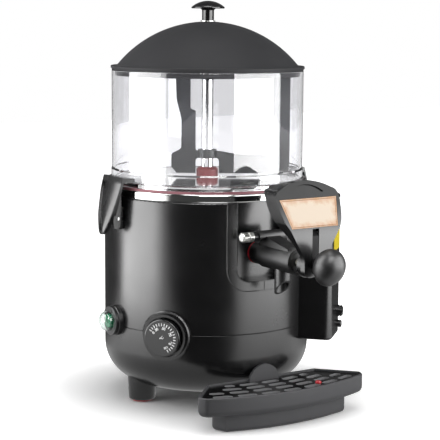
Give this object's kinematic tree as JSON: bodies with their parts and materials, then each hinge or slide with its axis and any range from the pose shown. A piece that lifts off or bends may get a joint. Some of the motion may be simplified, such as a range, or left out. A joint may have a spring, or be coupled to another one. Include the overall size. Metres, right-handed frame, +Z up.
{
  "type": "hot chocolate dispenser",
  "caption": "Countertop hot chocolate dispenser: clear round jar with stirrer over a black water-bath body, lever tap with sign frame, side latches, drip tray with grid.",
  "frame": {"origin": "on the body's axis, at the level of the table under the leg pads", "axes": "+Z up; the front, with the tap and the drip tray, faces -Y; +X is to the right of a person facing the front"},
  "size_m": [0.281, 0.3759, 0.46],
  "materials": {
    "black_satin_plastic": "satin black moulded plastic",
    "black_gloss_plastic": "gloss black",
    "black_stirrer_plastic": "food-safe black plastic",
    "grey_lid_plastic": "fine-grained dark grey",
    "grey_tray_plastic": "fine-grained dark grey",
    "black_fittings": "black nylon",
    "pale_terminal_plastic": "off-white",
    "clear_jar": "clear polycarbonate",
    "clear_cover": "clear silicone",
    "red_silicone": "red silicone",
    "red_float_plastic": "gloss red",
    "green_rocker": "translucent green",
    "polished_steel": "polished stainless steel",
    "chrome_pin": "polished",
    "brushed_steel": "brushed stainless steel",
    "heater_sheath": "annealed steel sheath",
    "zinc_plate": "zinc-plated steel",
    "cast_gear_case": "die-cast",
    "piston_plastic": "white acetal",
    "sign_paper": "printed card, parchment tone"
  },
  "bodies": {
    "base": {"base_pan": "black_satin_plastic", "base_screws": "brushed_steel", "body_shell": "black_satin_plastic", "cable_gland": "black_fittings", "gear_motor": "cast_gear_case", "heated_floor": "polished_steel", "jar": "clear_jar", "jar_gasket": "red_silicone", "latch_bracket_left": "black_satin_plastic", "latch_bracket_right": "black_satin_plastic", "latch_pins": "brushed_steel", "leg_pads": "red_silicone", "lever_pin": "brushed_steel", "lever_spring": "brushed_steel", "motor_bracket": "zinc_plate", "outlet_cover": "black_satin_plastic", "outlet_pipe": "brushed_steel", "ring_heater": "heater_sheath", "rod_gland": "black_satin_plastic", "shaft_seal": "red_silicone", "sign_card": "sign_paper", "sign_frame": "black_satin_plastic", "switch_bezel": "black_gloss_plastic", "switch_body": "black_fittings", "switch_cover": "clear_cover", "tap_barrel": "black_satin_plastic", "tap_o_ring": "red_silicone", "terminal_block": "pale_terminal_plastic", "thermostat": "black_fittings", "water_tank": "brushed_steel"},
    "lid": {"lid": "grey_lid_plastic", "lid_knob": "black_gloss_plastic", "knob_washer": "brushed_steel", "knob_screw": "brushed_steel"},
    "stirrer": {"stirrer": "black_stirrer_plastic", "drive_shaft": "polished_steel"},
    "lever": {"tap_lever": "black_satin_plastic", "lever_knob": "black_satin_plastic"},
    "piston": {"tap_piston": "piston_plastic", "piston_seal": "red_silicone"},
    "lock_pin": {"lock_pin": "chrome_pin"},
    "latch_left": {"latch_left": "black_satin_plastic"},
    "latch_right": {"latch_right": "black_satin_plastic"},
    "dial": {"dial": "black_gloss_plastic"},
    "rocker": {"switch_rocker": "green_rocker"},
    "tray": {"drip_tray": "grey_tray_plastic"},
    "grid": {"tray_grid": "grey_tray_plastic"},
    "float": {"tray_float": "red_float_plastic"}
  },
  "joints": [
    {"name": "lid_lift", "type": "slide", "parent": "base", "child": "lid", "axis": [0, 0, 1], "range_m": [0, 0.15]},
    {"name": "stirrer_turn", "type": "hinge", "parent": "base", "child": "stirrer", "pos_m": [0, 0, 0.3], "axis": [0, 0, 1], "continuous": true},
    {"name": "lever_pull", "type": "hinge", "parent": "base", "child": "lever", "pos_m": [0, -0.2065, 0.221], "axis": [-1, 0, 0], "range_deg": [0, 35], "stiffness_Nm_per_rad": 0.6, "springref_deg": -17.19},
    {"name": "piston_draw", "type": "slide", "parent": "base", "child": "piston", "axis": [0, -1, 0], "range_m": [0, 0.0242]},
    {"name": "lock_pin_pull", "type": "slide", "parent": "base", "child": "lock_pin", "axis": [-1, 0, 0], "range_m": [0, 0.022]},
    {"name": "latch_left_rock", "type": "hinge", "parent": "base", "child": "latch_left", "pos_m": [-0.128, 0, 0.217], "axis": [0, -1, 0], "range_deg": [0, 18]},
    {"name": "latch_right_rock", "type": "hinge", "parent": "base", "child": "latch_right", "pos_m": [0.128, 0, 0.217], "axis": [0, 1, 0], "range_deg": [0, 18]},
    {"name": "dial_turn", "type": "hinge", "parent": "base", "child": "dial", "pos_m": [-0.10355, -0.07524, 0.09], "axis": [-0.809, -0.5878, 0], "range_deg": [0, 270]},
    {"name": "rocker_tilt", "type": "hinge", "parent": "base", "child": "rocker", "pos_m": [-0.12492, 0.00436, 0.097], "axis": [-0.0349, -0.9994, 0], "range_deg": [0, 9]},
    {"name": "tray_pull", "type": "slide", "parent": "base", "child": "tray", "axis": [0, -1, 0], "range_m": [0, 0.09]},
    {"name": "grid_lift", "type": "slide", "parent": "tray", "child": "grid", "axis": [0, 0, 1], "range_m": [0, 0.06]},
    {"name": "float_rise", "type": "slide", "parent": "tray", "child": "float", "axis": [0, 0, 1], "range_m": [0, 0.006]}
  ],
  "couplings": [
    {"joint": "piston_draw", "follows": "lever_pull", "m_per_rad": 0.0387}
  ]
}
